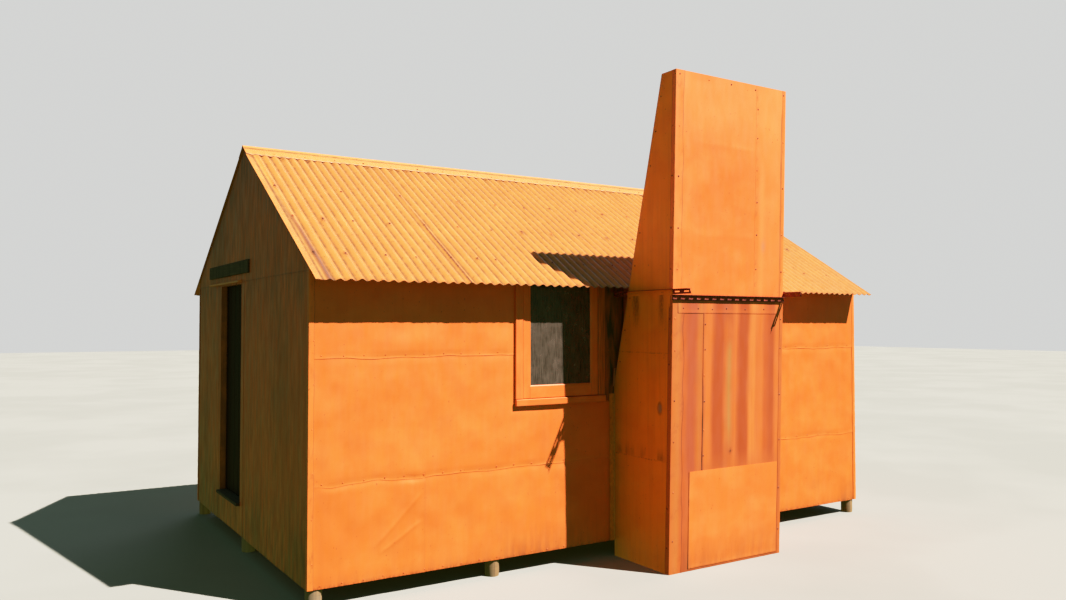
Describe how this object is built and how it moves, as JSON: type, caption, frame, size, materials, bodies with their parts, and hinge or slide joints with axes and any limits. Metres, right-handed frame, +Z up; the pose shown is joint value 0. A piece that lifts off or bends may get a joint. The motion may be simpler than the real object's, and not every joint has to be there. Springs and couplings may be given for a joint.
{
  "type": "backcountry hut",
  "caption": "Backcountry hut clad in orange sheet iron, with a corrugated roof, a tall tapered iron chimney, a window and a door hinged to open inwards, on timber piles.",
  "frame": {"origin": "on the ground, in the middle of the space that the hut takes up", "axes": "+X along the front wall, away from the doorway's gable; +Y from the front wall with the chimney to the rear wall; +Z up"},
  "size_m": [5.7294, 4.6634, 3.857],
  "materials": {
    "roof_iron": "weathered satin paint",
    "wall_iron": "weathered satin paint",
    "chimney_iron": "heat faded satin paint with rust",
    "painted_timber": "weathered satin paint",
    "frame_timber": "rough sawn",
    "dark_timber": "dark stain",
    "sign_timber": "weathered matte paint",
    "glass": "clear, dusty",
    "dark_steel": "rusty",
    "hearth_stone": "rough"
  },
  "bodies": {
    "hut": {"piles": "frame_timber", "bearers": "frame_timber", "floor_joists": "frame_timber", "floor": "frame_timber", "front_frame_left": "frame_timber", "front_frame_under_window": "frame_timber", "front_frame_middle": "frame_timber", "front_frame_over_hearth": "frame_timber", "front_frame_right": "frame_timber", "rear_frame": "frame_timber", "wall_plates": "frame_timber", "left_frame_near": "frame_timber", "left_frame_far": "frame_timber", "left_frame_over_door": "frame_timber", "right_frame": "frame_timber", "rafters": "frame_timber", "ridge_board": "frame_timber", "battens": "frame_timber", "front_roof_sheets": "roof_iron", "rear_roof_sheets": "roof_iron", "ridge_cap": "roof_iron", "front_cladding": "wall_iron", "rear_cladding": "wall_iron", "left_gable_cladding": "wall_iron", "right_gable_cladding": "wall_iron", "corner_flashings": "wall_iron", "window_surround": "painted_timber", "window_sash": "painted_timber", "window_glass": "glass", "door_jambs": "painted_timber", "door_lining_head": "painted_timber", "threshold": "frame_timber", "hinge_pins": "dark_steel", "sign_board": "sign_timber", "door_head_flashing": "wall_iron", "chimney_front_upper": "chimney_iron", "chimney_front_lower": "chimney_iron", "chimney_sides": "chimney_iron", "chimney_back": "chimney_iron", "chimney_posts": "frame_timber", "hearth_base": "hearth_stone", "chimney_side_braces": "dark_steel", "chimney_front_brace": "dark_steel"},
    "door": {"door_leaf": "dark_timber", "hinge_straps": "dark_steel"}
  },
  "joints": [
    {"name": "door_hinge", "type": "hinge", "parent": "hut", "child": "door", "pos_m": [-2.72575, 1.18536, 1.3135], "axis": [0, 0, 1], "range_deg": [0, 110]}
  ]
}
